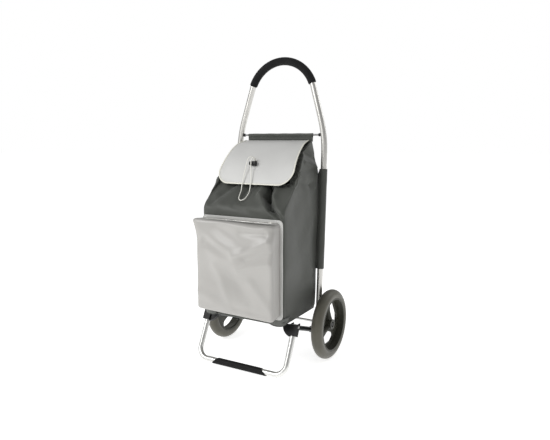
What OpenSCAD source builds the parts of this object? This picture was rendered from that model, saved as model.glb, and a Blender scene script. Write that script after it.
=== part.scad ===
// Folding shopping trolley: aluminium push handle, two wheels, folding base and stand,
// fabric bag with a zipped front pocket and a flap closed by an elastic loop.
// Millimetres, +Z up, front of the bag towards -Y, ground at z = 0.

/* [Wheels] */
// Outside diameter of the tyre
wheel_d = 236; // [180:1:300]
// Width of the tyre
tyre_w = 39; // [25:1:55]
// Diameter of the rim that the tyre sits on
rim_d = 182; // [140:1:186]
// Distance between the middles of the two tyres
wheel_track = 419; // [410:1:480]
// Diameter of the axle rod
axle_d = 8; // [6:0.5:12]

/* [Handle] */
// Overall height to the top of the grip
handle_h = 1020; // [940:1:1250]
// Distance between the middles of the two handle legs
leg_spread = 336; // [320:1:360]
// Outside diameter of the handle tube
handle_d = 20; // [16:0.5:24]
// Wall of the aluminium tubes
tube_wall = 1.2; // [0.8:0.1:2]
// How far the handle leans back, in degrees
handle_lean = 3; // [0:0.5:8]
// Radius of the arch at the top, to the middle of the tube
arch_r = 125; // [100:1:140]
// How far the upper legs lean in towards the arch, in degrees
arch_lean = 16.4; // [10:0.1:22]
// Radius of the bend where the legs turn in
leg_bend_r = 400; // [200:10:500]
// Outside diameter of the foam grip
grip_d = 27; // [24:0.5:36]
// Part of the arch that the grip covers, in degrees
grip_span = 138; // [90:1:145]
// Diameter of the rod that the bag hangs from
rod_d = 6; // [4:0.5:10]
// Height of that rod
rod_z = 756; // [700:1:800]

/* [Bag] */
// Width of the bag
bag_w = 300; // [240:1:304]
// Depth of the bag, from the handle legs to its front panel
bag_depth = 216; // [180:1:260]
// Height of the bag's bottom over the ground
bag_z = 162; // [160:1:200]
// Height at which the front panel starts to slope back
shoulder_z = 526; // [460:1:560]
// Height of the front edge of the mouth
mouth_z = 588; // [570:1:620]
// Distance from the axle's plane to the front edge of the mouth
mouth_y = 138; // [110:1:160]
// Width of the bag at the top hem
hem_w = 262; // [220:1:280]
// Thickness of the fabric walls
fabric_t = 2; // [1:0.5:3]
// Thickness of the stiffening board in the bottom
board_t = 4; // [2:0.5:8]

/* [Pocket] */
// Width of the front pocket
pocket_w = 280; // [200:1:284]
// Height of the front pocket
pocket_h = 298; // [200:1:300]
// Depth of the front pocket
pocket_depth = 54; // [30:1:80]
// Height of the pocket's bottom over the ground
pocket_z = 190; // [186:1:220]
// Width of the flange that is sewn to the bag
flange_w = 8; // [4:1:9]
// Length of the zip
zip_l = 250; // [160:1:260]

/* [Flap] */
// Width of the flap at its hinge
flap_w_top = 258; // [220:1:262]
// Width of the flap at its lower edge
flap_w_low = 288; // [260:1:296]
// Distance from the hinge to the lower edge, straight across
flap_l = 229; // [200:1:240]
// How far the flap bows up in the middle
flap_bow = 25; // [15:1:35]
// Slope of the flap, in degrees
flap_slope = 40.3; // [36:0.1:44]
// Radius of the flap's lower corners
flap_corner = 50; // [30:1:66]
// Thickness of the flap
flap_t = 2.5; // [1.5:0.5:4]
// Width of the piping round the flap
piping_w = 4.5; // [3:0.5:6]

/* [Base and stand] */
// Diameter of the two side arms
arm_d = 16; // [12:0.5:18]
// Upward slope of the arms towards the front, in degrees
arm_slope = 19.6; // [15:0.1:22]
// Distance from the ground to the pivot of the arms
arm_pivot_z = 87; // [80:1:95]
// Angle that the base folds up
base_fold = 44; // [30:1:46]
// Outside diameter of the stand tube
stand_d = 18; // [14:0.5:18.5]
// Distance from the axle's plane to the foot of the stand
stand_reach = 240; // [220:1:260]
// Forward lean of the stand, in degrees
stand_lean = 26; // [20:0.5:30]
// Height of the stand's pivot
stand_pivot_z = 152; // [140:1:152]
// Radius of the stand's lower corners
stand_bend_r = 36; // [28:1:60]
// Length of the foot cover at its sole
foot_l = 210; // [120:1:240]
// Diameter of the bar across the front of the base
crossbar_d = 8; // [6:0.5:8]

/* [Elastic closure] */
// Diameter of the elastic cord
cord_d = 3; // [2:0.5:4]
// Distance of the cord lock to the left of the middle
lock_x = 16; // [0:1:40]
// Diameter of the cord lock's barrel
lock_d = 15; // [12:0.5:20]
// Length of the cord lock's barrel
lock_l = 16; // [12:1:24]
// Travel of the cord lock's button
button_travel = 4; // [2:0.5:6]

/* [Hidden] */
$fn = 64;

// Clearances: fit is a still joint, run is a turning one, cut is the overrun of a cutter.
fit = 0.02;
run = 0.05;
cut = 1;
join_step = 0.15;
join_lap = 1;

// Heights and depths that follow from the driving sizes.
axle_z = wheel_d / 2;
axle_y = (bag_depth + pocket_depth - wheel_d / 2) / 2;
leg_x = leg_spread / 2;
function handle_y(z) = (z - axle_z) * tan(handle_lean);

// Handle outline, measured in the plane of the handle: x across, s up from the axle.
arch_s = (handle_h - axle_z) / cos(handle_lean) - arch_r - grip_d / 2;
arch_x1 = arch_r * cos(arch_lean);
arch_s1 = arch_s + arch_r * sin(arch_lean);
turn_s = arch_s1 - (leg_x - arch_x1) / tan(arch_lean);
turn_t = leg_bend_r * tan(arch_lean / 2);
leg_foot_s = -14;
rod_s = (rod_z - axle_z) / cos(handle_lean);
// Distance of the tube's middle from the centre line at height s, along the lower bend.
function leg_at(s) = s < turn_s - turn_t ? leg_x
  : leg_x - leg_bend_r + sqrt(pow(leg_bend_r, 2) - pow(s - turn_s + turn_t, 2));
// Distance of the tube's inner side from the centre line at height s.
function leg_inner_at(s) = s < turn_s - turn_t ? leg_x - handle_d / 2
  : leg_x - leg_bend_r + sqrt(pow(leg_bend_r - handle_d / 2, 2) - pow(s - turn_s + turn_t, 2));
bushing_r = rod_d / 2 + 2.5;
bushing_l = 5.5;

// Axle block at the foot of each leg.
block_wall = 2;
block_w = handle_d + 2 * block_wall;
block_d = handle_d + 2 * block_wall;
block_top = 150;
block_in = leg_x - block_w / 2;
block_out = leg_x + block_w / 2;
pin_r = 4;

// Wheel.
wheel_x = wheel_track / 2;
tyre_in = wheel_x - tyre_w / 2;
rim_w = tyre_w - 3;
web_t = 8;
hub_r = 17;
bush_r = 8;
hub_out = wheel_x + 12.5;
recess_x = wheel_x + 3.5;
recess_r = 9.5;

// Stand and base. The stand's pivot lies in the plane of the stand.
foot_rib = 0.8;
foot_r = stand_d / 2 + 2;
foot_z = foot_r;
stand_l = (stand_pivot_z - foot_z) / cos(stand_lean);
pivot_y = stand_reach - stand_l * sin(stand_lean);
stand_x = leg_x - 2;
stand_pin_r = 3;
cheek_t = 3.6;
slot_w = stand_d + 0.8;
bracket_in = stand_x - slot_w / 2 - cheek_t;
bracket_out = stand_x + slot_w / 2 + cheek_t;
bracket_top = bag_z - 1.5;
gusset_r = 40;
gusset_t = 12;
// The arm runs beside the block's eye, and its boss ends inside the bracket's cheek.
arm_x = min(bracket_in + cheek_t - 0.6 - 2, block_in - 2) - arm_d / 2;
arm_eye_r = 11;
arm_end = 168;
boss_start = 150;
boss_end = 176;
crossbar_x = stand_x - gusset_r + 10;

// Bag.
rear_z = rod_z - 19;
front_panel_y = -bag_depth;
mouth_slope = atan2(rear_z - mouth_z, handle_y(rear_z) + mouth_y);
mouth_l = (rear_z - mouth_z) / sin(mouth_slope);
hem_t = 3;
hem_in = 12;
function bag_half(z) = z < mouth_z + 45 ? bag_w / 2
  : bag_w / 2 - (bag_w - hem_w) / 2 * (z - mouth_z - 45) / (rear_z - mouth_z - 45);
rod_sleeve_r = rod_d / 2 + 2;
// Lower and upper end of the leg sleeves, measured up the legs from the axle.
sleeve_s0 = 187;
sleeve_s1 = 525;

// Pocket.
pocket_top = pocket_z + pocket_h;
pocket_front = -bag_depth - pocket_depth;
zip_y = front_panel_y - 0.55 * pocket_depth;
zip_w = 12;
slit_w = 8;
slider_l = 12;
slider_x = zip_l / 2 - slider_l;
pull_l = 0.45 * pocket_depth - 2;

// Flap: an arc of radius flap_r, from the hinge down to the lower edge.
hinge_y = handle_y(rod_z) - rod_sleeve_r - 4;
hinge_z = rod_z - 13;
flap_r = pow(flap_l, 2) / (8 * flap_bow) + flap_bow / 2;
flap_half = asin(flap_l / 2 / flap_r);
// Place of the cord lock on the bowed flap, in degrees below its middle.
lock_angle = 9.5;
lock_lift = flap_t + lock_d / 2 + 0.4;
spring_l = 5;

// Elastic loop: it leaves the top of the lock, falls over it and hangs to the shoulder.
CORD_ROUTE = [
  [-17.6, -104.5, 669.2], [-19, -108.5, 673], [-23, -111, 680], [-28, -114.5, 684.5], [-33, -119.5, 683],
  [-36, -124, 676], [-37, -128, 666], [-37.5, -132, 656], [-38, -137, 644], [-38, -142.5, 630],
  [-38, -149, 614], [-38, -155.5, 599], [-38, -159, 588], [-37.5, -162.5, 577], [-37, -168.5, 569],
  [-35.5, -177, 561], [-32.5, -185, 554], [-27, -191, 549.5], [-19.5, -193, 547.5], [-12.5, -191, 549.5],
  [-8, -185, 554], [-6, -177, 561], [-5.5, -168.5, 569], [-5.5, -162.5, 577], [-5.5, -159, 588],
  [-6, -155.5, 599], [-8.5, -149, 614], [-12.5, -142, 630.5], [-17, -136, 648], [-20, -131, 663],
  [-20.5, -128, 673], [-20, -123, 680], [-18, -117, 682], [-16, -112, 679], [-14.5, -108.5, 673],
  [-14.4, -104.5, 669.2]
];

// ---------------------------------------------------------------- helpers

// Puts what is measured from the axle's line on the ground into the part's frame.
module at_axle() translate([0, axle_y, 0]) children();

// Plane of the handle: x across, y up along the legs from the axle, z to the front.
module in_handle() at_axle() translate([0, 0, axle_z]) rotate([90 - handle_lean, 0, 0]) children();

// Plane of the stand: x across, y up along the legs from the foot bar, z to the front.
module in_stand() at_axle() translate([0, -stand_reach, foot_z]) rotate([90 - stand_lean, 0, 0]) children();

// A rod along X from x0 to x1, at y, z.
module rod_x(x0, x1, r, y = 0, z = 0) translate([x0, y, z]) rotate([0, 90, 0]) cylinder(r = r, h = x1 - x0);

// An upright rod in a plane's own frame, from (x, s0) for a length l.
module rod_s(x, s0, l, r) translate([x, s0, 0]) rotate([-90, 0, 0]) cylinder(r = r, h = l);

// A quarter turn or less of round bar in a plane's own frame, from angle a0 over span a.
module bend(r_bend, r, a0, a) rotate([0, 0, a0]) rotate_extrude(angle = a) translate([r_bend, 0]) circle(r = r);

// A rod along an arm from distance s0 to s1, for the arm that stands at x.
module rod_arm(x, s0, s1, r) at_axle() translate([x, 0, arm_pivot_z])
  rotate([90 - arm_slope, 0, 0]) translate([0, 0, s0]) cylinder(r = r, h = s1 - s0);

module both_sides() {
  children();
  mirror([1, 0, 0]) children();
}

// A tube of radius r swept along a list of points, closed at both ends.
function unit(v) = v / norm(v);
function along(p, i) = unit(p[min(i + 1, len(p) - 1)] - p[max(i - 1, 0)]);
function side_of(t) = unit(cross(t, [0.35, 0.7, -0.6]));
module sweep_cord(route, r, sides = 8) {
  n = len(route);
  rings = [for (i = [0:n - 1]) let (t = along(route, i), a = side_of(t), b = cross(t, a))
    for (k = [0:sides - 1]) route[i] + r * (a * cos(360 * k / sides) + b * sin(360 * k / sides))];
  walls = [for (i = [0:n - 2]) for (k = [0:sides - 1]) let (m = (k + 1) % sides)
    [i * sides + k, (i + 1) * sides + k, (i + 1) * sides + m, i * sides + m]];
  ends = [[for (k = [0:sides - 1]) k], [for (k = [sides - 1:-1:0]) (n - 1) * sides + k]];
  polyhedron(rings, concat(walls, ends));
}

// ---------------------------------------------------------------- handle and axle

// The whole handle outline as solid bar of radius r. The sloping lengths are a hair thinner
// and run a little way into the bends, so that the joins are clean.
module handle_bar(r) {
  both_sides() {
    rod_s(leg_x, leg_foot_s, turn_s - turn_t - leg_foot_s, r);
    translate([leg_x - leg_bend_r, turn_s - turn_t, 0]) bend(leg_bend_r, r, 0, arch_lean);
    translate([leg_x - turn_t * sin(arch_lean), turn_s + turn_t * cos(arch_lean), 0]) rotate([0, 0, arch_lean])
      rod_s(0, -join_lap, (leg_x - arch_x1) / sin(arch_lean) - turn_t + 2 * join_lap, r - join_step);
  }
  translate([0, arch_s, 0]) bend(arch_r, r, arch_lean, 180 - 2 * arch_lean);
}

module handle_tube() color([0.78, 0.78, 0.76]) difference() {
  in_handle() difference() {
    handle_bar(handle_d / 2);
    handle_bar(handle_d / 2 - tube_wall);
  }
  at_axle() rod_x(-block_out, block_out, axle_d / 2 + run, 0, axle_z);
  at_axle() rod_x(-leg_at(rod_s), leg_at(rod_s), rod_d / 2 + run, handle_y(rod_z), rod_z);
}

module handle_grip() color([0.09, 0.09, 0.09]) in_handle() translate([0, arch_s, 0])
  rotate([0, 0, 90 - grip_span / 2]) rotate_extrude(angle = grip_span) translate([arch_r, 0]) difference() {
    circle(r = grip_d / 2);
    circle(r = handle_d / 2 + run);
  }

module top_rod() color([0.3, 0.3, 0.3]) at_axle()
  rod_x(-leg_at(rod_s) + 4, leg_at(rod_s) - 4, rod_d / 2, handle_y(rod_z), rod_z);

module rod_bushings() color([0.08, 0.08, 0.08]) at_axle() both_sides()
  translate([leg_inner_at(rod_s + bushing_r) - bushing_l, handle_y(rod_z), rod_z]) rotate([0, 90, 0]) difference() {
    cylinder(r = bushing_r, h = bushing_l);
    translate([0, 0, -cut]) cylinder(r = rod_d / 2 + fit, h = bushing_l + 2 * cut);
  }

module axle_rod() color([0.55, 0.56, 0.56]) at_axle() rod_x(-hub_out + 2, hub_out - 2, axle_d / 2, 0, axle_z);

// Black foot of a handle leg: it holds the tube, the axle and the pivot of the base.
module axle_block() color([0.08, 0.08, 0.08]) difference() {
  at_axle() union() {
    translate([block_in, -block_d / 2, arm_pivot_z]) cube([block_w, block_d, block_top - arm_pivot_z]);
    rod_x(block_in, block_out, block_d / 2 + 2, 0, arm_pivot_z);
    rod_x(block_in, block_out, axle_d / 2 + 10, 0, axle_z);
  }
  in_handle() rod_s(leg_x, leg_foot_s, 80, handle_d / 2 + fit);
  at_axle() rod_x(block_in - cut, block_out + cut, axle_d / 2 + fit, 0, axle_z);
  at_axle() rod_x(block_in - cut, block_out - 6, pin_r + fit, 0, arm_pivot_z);
  at_axle() screw_at() cylinder(r = 2 + fit, h = 20);
}
module axle_block_right() axle_block();
module axle_block_left() mirror([1, 0, 0]) axle_block();

// Screws that hold the blocks to the tubes, put in from the back.
module screw_at() translate([leg_x, 0, block_top - 10]) rotate([-90, 0, 0]) children();
module block_screws() color([0.6, 0.6, 0.6]) at_axle() both_sides() screw_at() difference() {
  union() {
    translate([0, 0, handle_d / 2 + 1.8]) cylinder(r = 2, h = block_d / 2 - handle_d / 2 - 1.8);
    translate([0, 0, block_d / 2]) cylinder(r = 4, h = 2);
  }
  translate([-0.5, -3, block_d / 2 + 1.2]) cube([1, 6, 2]);
}

module axle_spacers() color([0.1, 0.1, 0.1]) at_axle() both_sides()
  translate([block_out + 0.2, 0, axle_z]) rotate([0, 90, 0]) difference() {
    cylinder(r = 7, h = tyre_in - block_out - 0.4);
    translate([0, 0, -cut]) cylinder(r = axle_d / 2 + fit, h = tyre_in - block_out + 2 * cut);
  }

module axle_caps() color([0.1, 0.1, 0.1]) at_axle() both_sides()
  translate([recess_x + 0.5, 0, axle_z]) rotate([0, 90, 0]) difference() {
    union() {
      cylinder(r = 8, h = 3);
      cylinder(r = 6, h = hub_out - recess_x - 0.5);
    }
    translate([0, 0, -cut]) cylinder(r = axle_d / 2 + fit, h = hub_out - recess_x - 1.4 + cut);
  }

// ---------------------------------------------------------------- wheels

module at_wheel() at_axle() translate([wheel_x, 0, axle_z]) rotate([0, 90, 0]) children();

// Balloon tyre, round outside, flat where it sits on the rim.
module tyre() color([0.40, 0.39, 0.34]) at_wheel() rotate_extrude() difference() {
  translate([wheel_d / 2 - tyre_w / 2, 0]) circle(r = tyre_w / 2);
  translate([0, -tyre_w]) square([rim_d / 2, 2 * tyre_w]);
}

// Rim: outer ring, web with three large holes that leave three spokes, and the hub.
module rim() color([0.30, 0.30, 0.27]) at_wheel() difference() {
  union() {
    rotate_extrude() translate([rim_d / 2 - 6, -rim_w / 2]) square([6 - fit, rim_w]);
    translate([0, 0, -rim_w / 2 + 4]) cylinder(r = rim_d / 2 - 3, h = web_t);
    translate([0, 0, -rim_w / 2]) cylinder(r = hub_r, h = hub_out - wheel_x + rim_w / 2);
  }
  for (a = [0:120:240]) rotate([0, 0, a]) translate([0, 0, -rim_w]) linear_extrude(2 * rim_w) rim_hole();
  translate([0, 0, -rim_w]) cylinder(r = bush_r + fit, h = 2 * rim_w);
  translate([0, 0, recess_x - wheel_x]) cylinder(r = recess_r, h = rim_w);
}

// One hole of the web, round towards the hub and wide towards the ring.
module rim_hole() hull() {
  translate([rim_d / 2 * 0.47, 0]) circle(r = rim_d / 2 * 0.17, $fn = 32);
  for (s = [-1, 1]) rotate([0, 0, 30 * s]) translate([rim_d / 2 * 0.73, 0]) circle(r = rim_d / 2 * 0.17, $fn = 32);
}

module hub_bush() color([0.12, 0.12, 0.12]) at_wheel() translate([0, 0, -rim_w / 2 - 1]) difference() {
  cylinder(r = bush_r, h = recess_x - wheel_x + rim_w / 2 + 1);
  translate([0, 0, -cut]) cylinder(r = axle_d / 2 + run, h = 2 * rim_w);
}

module tyre_right() tyre();
module tyre_left() mirror([1, 0, 0]) tyre();
module rim_right() rim();
module rim_left() mirror([1, 0, 0]) rim();
module hub_bush_right() hub_bush();
module hub_bush_left() mirror([1, 0, 0]) hub_bush();

// ---------------------------------------------------------------- base and stand

// Side arm: a tube with an eye that turns on the pin at the foot of the handle.
module arm() color([0.13, 0.15, 0.15]) difference() {
  union() {
    rod_arm(arm_x, 8, arm_end, arm_d / 2);
    at_axle() rod_x(arm_x - arm_d / 2 - 0.8, arm_x + arm_d / 2 + 0.8, arm_eye_r, 0, arm_pivot_z);
  }
  rod_arm(arm_x, arm_eye_r + 2, arm_end + cut, arm_d / 2 - tube_wall);
  at_axle() rod_x(arm_x - arm_d, arm_x + arm_d, pin_r + run, 0, arm_pivot_z);
}
module arm_right() arm();
module arm_left() mirror([1, 0, 0]) arm();

// Pins of the base, each with a head inside the arm's eye.
module arm_pins() color([0.6, 0.6, 0.6]) at_axle() both_sides() {
  rod_x(arm_x - arm_d / 2 - 1.2, block_out - 7, pin_r, 0, arm_pivot_z);
  rod_x(arm_x - arm_d / 2 - 3.2, arm_x - arm_d / 2 - 1.2, pin_r + 3, 0, arm_pivot_z);
}

// Bracket: it grips the arm, carries the crossbar and holds the stand's pivot.
// The slot for the leg is open at the back, and its front wall is the stand's stop.
module bracket() color([0.07, 0.07, 0.07]) difference() {
  union() {
    in_stand() translate([bracket_in, stand_l - 30, -10])
      cube([bracket_out - bracket_in, 44, stand_d / 2 + 14]);
    in_stand() intersection() {
      translate([stand_x, stand_l + 5, -gusset_t / 2]) cylinder(r = gusset_r, h = gusset_t);
      translate([stand_x - gusset_r - cut, stand_l - gusset_r, -gusset_t])
        cube([gusset_r + cut - slot_w / 2 - 1, gusset_r + 5, 2 * gusset_t]);
    }
    rod_arm(arm_x, boss_start, boss_end, arm_d / 2 + 2);
  }
  in_stand() translate([stand_x - slot_w / 2, stand_l - 60, -30])
    cube([slot_w, 100, 30 + stand_d / 2 + 0.7]);
  rod_arm(arm_x, boss_start - cut, arm_end, arm_d / 2 + fit);
  at_axle() rod_x(arm_x - 1, bracket_out + cut, stand_pin_r + fit, -pivot_y, stand_pivot_z);
  at_axle() rod_x(0, crossbar_x, crossbar_d / 2 + fit, -pivot_y, stand_pivot_z);
  at_axle() translate([bracket_in - 60, -pivot_y - 60, bracket_top]) cube([120, 120, 60]);
}
module bracket_right() bracket();
module bracket_left() mirror([1, 0, 0]) bracket();

module front_crossbar() color([0.82, 0.82, 0.80]) at_axle()
  rod_x(-crossbar_x, crossbar_x, crossbar_d / 2, -pivot_y, stand_pivot_z);

// U-shaped stand outline as solid bar of radius r, with legs that end at l.
module stand_bar(r, l) {
  rod_x(-stand_x + stand_bend_r, stand_x - stand_bend_r, r);
  both_sides() {
    translate([stand_x - stand_bend_r, stand_bend_r, 0]) bend(stand_bend_r, r, 270, 90);
    rod_s(stand_x, stand_bend_r, l - stand_bend_r, r);
  }
}

module stand_tube() color([0.80, 0.80, 0.78]) difference() {
  in_stand() union() {
    difference() {
      stand_bar(stand_d / 2, stand_l - 3);
      stand_bar(stand_d / 2 - tube_wall, stand_l - 12);
    }
    both_sides() rod_x(stand_x - 7, stand_x + 7, stand_d / 2 - 0.4, stand_l, 0);
  }
  at_axle() rod_x(-bracket_out, bracket_out, stand_pin_r + run, -pivot_y, stand_pivot_z);
}

// Ribbed rubber cover on the foot bar, cut at a slant at both ends.
module stand_foot() color([0.06, 0.06, 0.06]) in_stand() intersection() {
  translate([-foot_l / 2, 0, 0]) rotate([0, 90, 0]) linear_extrude(foot_l) difference() {
    union() {
      circle(r = foot_r - foot_rib);
      for (a = [0:20:340]) rotate([0, 0, a + stand_lean + 90]) translate([foot_r - foot_rib, 0])
        circle(r = foot_rib, $fn = 16);
    }
    circle(r = stand_d / 2 + fit);
  }
  translate([0, 0, -2 * foot_r]) linear_extrude(4 * foot_r) polygon([
    [-foot_l / 2, -foot_r], [foot_l / 2, -foot_r], [foot_l / 2 - 2 * foot_r, foot_r], [-foot_l / 2 + 2 * foot_r, foot_r]]);
}

module stand_pins() color([0.6, 0.6, 0.6]) at_axle() both_sides() {
  rod_x(arm_x, bracket_out, stand_pin_r, -pivot_y, stand_pivot_z);
  rod_x(bracket_out, bracket_out + 2, stand_pin_r + 2, -pivot_y, stand_pivot_z);
}

// ---------------------------------------------------------------- bag

// Side view of the bag, drawn in y and z. Inside, it is cut on through the mouth.
module bag_side(t, open) polygon(concat(
  [[handle_y(bag_z) - t, bag_z + t], [front_panel_y + t, bag_z + t], [front_panel_y + t, shoulder_z - t / 2],
   [-mouth_y + 2 * t, mouth_z]],
  open ? [[-mouth_y + 2 * t, mouth_z + 60], [handle_y(rear_z) - t, rear_z + 60]] : [],
  [[handle_y(rear_z) - t, rear_z]]));

// Front view of the bag, drawn in x and z.
module bag_face(t, extra) polygon([
  [-bag_w / 2 + t, bag_z + t], [bag_w / 2 - t, bag_z + t], [bag_w / 2 - t, mouth_z + 45],
  [hem_w / 2 - t, rear_z], [hem_w / 2 - t, rear_z + extra], [-hem_w / 2 + t, rear_z + extra],
  [-hem_w / 2 + t, rear_z], [-bag_w / 2 + t, mouth_z + 45]]);

module bag_form(t, open) at_axle() intersection() {
  rotate([90, 0, 90]) translate([0, 0, -bag_w]) linear_extrude(2 * bag_w) bag_side(t, open);
  rotate([90, 0, 0]) translate([0, 0, -bag_w]) linear_extrude(2 * bag_w + bag_depth) bag_face(t, open ? 80 : cut);
}

module bag_body() color([0.31, 0.32, 0.30]) difference() {
  bag_form(0, false);
  bag_form(fabric_t, true);
}

module base_board() color([0.2, 0.2, 0.2]) at_axle()
  translate([-bag_w / 2 + fabric_t + 2, front_panel_y + fabric_t + 2, bag_z + fabric_t + 0.2])
    cube([bag_w - 2 * fabric_t - 4, bag_depth - 2 * fabric_t - 4, board_t]);

// Tunnel hem round the mouth, on the sloping rim of the bag.
module mouth_hem() color([0.27, 0.28, 0.26]) at_axle()
  translate([0, -mouth_y, mouth_z]) rotate([mouth_slope, 0, 0]) linear_extrude(hem_t) difference() {
    mouth_outline(0);
    mouth_outline(hem_in);
  }
module mouth_outline(t) let (k = 45 / sin(mouth_slope)) polygon([
  [-bag_w / 2 + t, t], [bag_w / 2 - t, t], [bag_w / 2 - t, k],
  [hem_w / 2 - t, mouth_l - t], [-hem_w / 2 + t, mouth_l - t], [-bag_w / 2 + t, k]]);

// Band at the top of the back panel, with the tunnel for the rod.
module rod_sleeve() color([0.27, 0.28, 0.26]) difference() {
  at_axle() union() {
    rod_x(-hem_w / 2, hem_w / 2, rod_sleeve_r, handle_y(rod_z), rod_z);
    translate([-hem_w / 2, handle_y(rod_z) - 0.8, rear_z + 0.2]) cube([hem_w, 2, rod_z - rear_z]);
  }
  at_axle() rod_x(-hem_w, hem_w, rod_d / 2 + 0.1, handle_y(rod_z), rod_z);
}

// Fabric sleeve round a handle leg, sewn to the bag's back edge by a narrow web.
module tube_sleeve() color([0.24, 0.25, 0.24]) in_handle() difference() {
  union() {
    rod_s(leg_x, sleeve_s0, sleeve_s1 - sleeve_s0, handle_d / 2 + 1.8);
    translate([bag_w / 2, sleeve_s0, -1]) cube([leg_x - bag_w / 2, sleeve_s1 - sleeve_s0 - 30, 2]);
  }
  rod_s(leg_x, sleeve_s0 - cut, sleeve_s1, handle_d / 2 + 0.1);
}
module tube_sleeve_right() tube_sleeve();
module tube_sleeve_left() mirror([1, 0, 0]) tube_sleeve();

// Folded fabric corners at the bottom of the front panel.
module corner_tabs() color([0.31, 0.32, 0.30]) at_axle() both_sides()
  translate([0, front_panel_y, 0]) rotate([90, 0, 0]) linear_extrude(3) polygon([
    [bag_w / 2 - 42, bag_z + 2], [bag_w / 2 - 24, bag_z - 1], [bag_w / 2 - 4, bag_z + 3],
    [bag_w / 2, pocket_z - flange_w - 2], [bag_w / 2 - 20, pocket_z - flange_w - 2]]);

// ---------------------------------------------------------------- pocket

module pocket_body() color([0.74, 0.74, 0.73]) at_axle() difference() {
  translate([-pocket_w / 2, pocket_front, pocket_z]) cube([pocket_w, pocket_depth, pocket_h]);
  translate([-pocket_w / 2 + fabric_t, pocket_front + fabric_t, pocket_z + fabric_t])
    cube([pocket_w - 2 * fabric_t, pocket_depth, pocket_h - 2 * fabric_t]);
  translate([-zip_l / 2, zip_y - slit_w / 2, pocket_top - fabric_t - cut]) cube([zip_l, slit_w, fabric_t + 2 * cut]);
}

module pocket_piping() color([0.80, 0.80, 0.78]) at_axle() translate([0, front_panel_y, 0])
  rotate([90, 0, 0]) linear_extrude(4) difference() {
    translate([-pocket_w / 2 - flange_w, pocket_z - flange_w])
      square([pocket_w + 2 * flange_w, pocket_h + 2 * flange_w]);
    translate([-pocket_w / 2 - fit, pocket_z - fit]) square([pocket_w + 2 * fit, pocket_h + 2 * fit]);
  }

// Zip tape with its row of teeth, closed, along the top of the pocket.
module pocket_zip() color([0.62, 0.62, 0.60]) at_axle() translate([-zip_l / 2, zip_y, pocket_top]) {
  translate([0, -zip_w / 2, 0]) cube([zip_l, zip_w, 0.8]);
  translate([0, -1.5, 0.8]) cube([zip_l, 3, 1]);
}

module zip_slider() color([0.7, 0.7, 0.7]) at_axle() translate([slider_x, zip_y, pocket_top + 1.9]) difference() {
  union() {
    translate([0, -4, 0]) cube([slider_l, 8, 2]);
    translate([2, -1.5, 2]) cube([slider_l - 4, 3, 3]);
  }
  translate([3.5, -3, 2.2]) cube([slider_l - 7, 6, 1.6]);
}

// Pull tab, threaded through the slider's bridge and hanging down the front.
module zip_pull() color([0.7, 0.7, 0.7]) at_axle() translate([slider_x + slider_l / 2, zip_y, pocket_top + 4.2]) union() {
  translate([-2, -pull_l + 8, 0]) cube([4, pull_l - 6, 1.2]);
  translate([-4, -pull_l, 0]) cube([8, 8.5, 1.2]);
}

// ---------------------------------------------------------------- flap and closure

// Frame of the flap: x across, y up the slope to the hinge, z out of the bag.
module in_flap() at_axle() translate([0, hinge_y, hinge_z]) rotate([flap_slope, 0, 0]) children();

// Frame of a point on the bowed flap, at angle a below its middle.
module on_flap(a) in_flap() translate([0, -flap_l / 2, flap_bow - flap_r]) rotate([a, 0, 0])
  translate([0, 0, flap_r]) children();

// Bowed sheet between two radii, wider than the flap.
module flap_sheet(lift, t) translate([0, -flap_l / 2, flap_bow - flap_r]) rotate([0, 90, 0])
  translate([0, 0, -flap_w_low]) difference() {
    cylinder(r = flap_r + lift + t, h = 2 * flap_w_low, $fn = 180);
    translate([0, 0, -cut]) cylinder(r = flap_r + lift, h = 2 * flap_w_low + 2 * cut, $fn = 180);
  }

// Outline of the flap, inset by t, with round lower corners.
module flap_outline(t) let (r = flap_corner - t, xc = flap_w_low / 2 - flap_corner) union() {
  polygon([[-flap_w_top / 2 + t, 0], [-flap_w_low / 2 + t, -flap_l + flap_corner], [-xc, -flap_l + t],
    [xc, -flap_l + t], [flap_w_low / 2 - t, -flap_l + flap_corner], [flap_w_top / 2 - t, 0]]);
  for (s = [-1, 1]) translate([s * xc, -flap_l + flap_corner]) circle(r = r);
}

module flap_panel() color([0.78, 0.78, 0.76]) in_flap() intersection() {
  flap_sheet(0, flap_t);
  translate([0, 0, -10]) linear_extrude(80) difference() {
    flap_outline(piping_w + fit);
    translate([-lock_x, -flap_l / 2 - flap_r * sin(lock_angle - 3)]) circle(r = 4.4);
  }
}

module flap_piping() color([0.90, 0.90, 0.84]) in_flap() intersection() {
  flap_sheet(-0.75, flap_t + 1.5);
  translate([0, 0, -20]) linear_extrude(90) difference() {
    flap_outline(0);
    translate([0, cut]) flap_outline(piping_w);
    flap_outline(piping_w);
  }
}

// Metal ring in the hole that the elastic comes through.
module flap_eyelet() color([0.75, 0.75, 0.73]) on_flap(lock_angle - 3) translate([-lock_x, 0, 0]) difference() {
  translate([0, 0, -0.6]) cylinder(r = 3.9, h = flap_t + 1.4);
  translate([0, 0, -cut - 1]) cylinder(r = 2.6, h = flap_t + 4);
}

// Frame of the cord lock: z along its barrel towards +X, lying on the flap.
module in_lock() on_flap(lock_angle) translate([-lock_x, 0, lock_lift]) rotate([0, 90, 0]) children();

module cord_lock_body() color([0.05, 0.05, 0.05]) in_lock() difference() {
  union() {
    translate([0, 0, -lock_l / 2]) cylinder(r = lock_d / 2, h = lock_l);
    translate([0, 0, lock_l / 2 - 3]) cylinder(r = lock_d / 2 + 0.4, h = 3);
  }
  translate([0, 0, -lock_l / 2 - cut]) cylinder(r = lock_d / 2 - 2.5, h = lock_l - 2 + cut);
}

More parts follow.
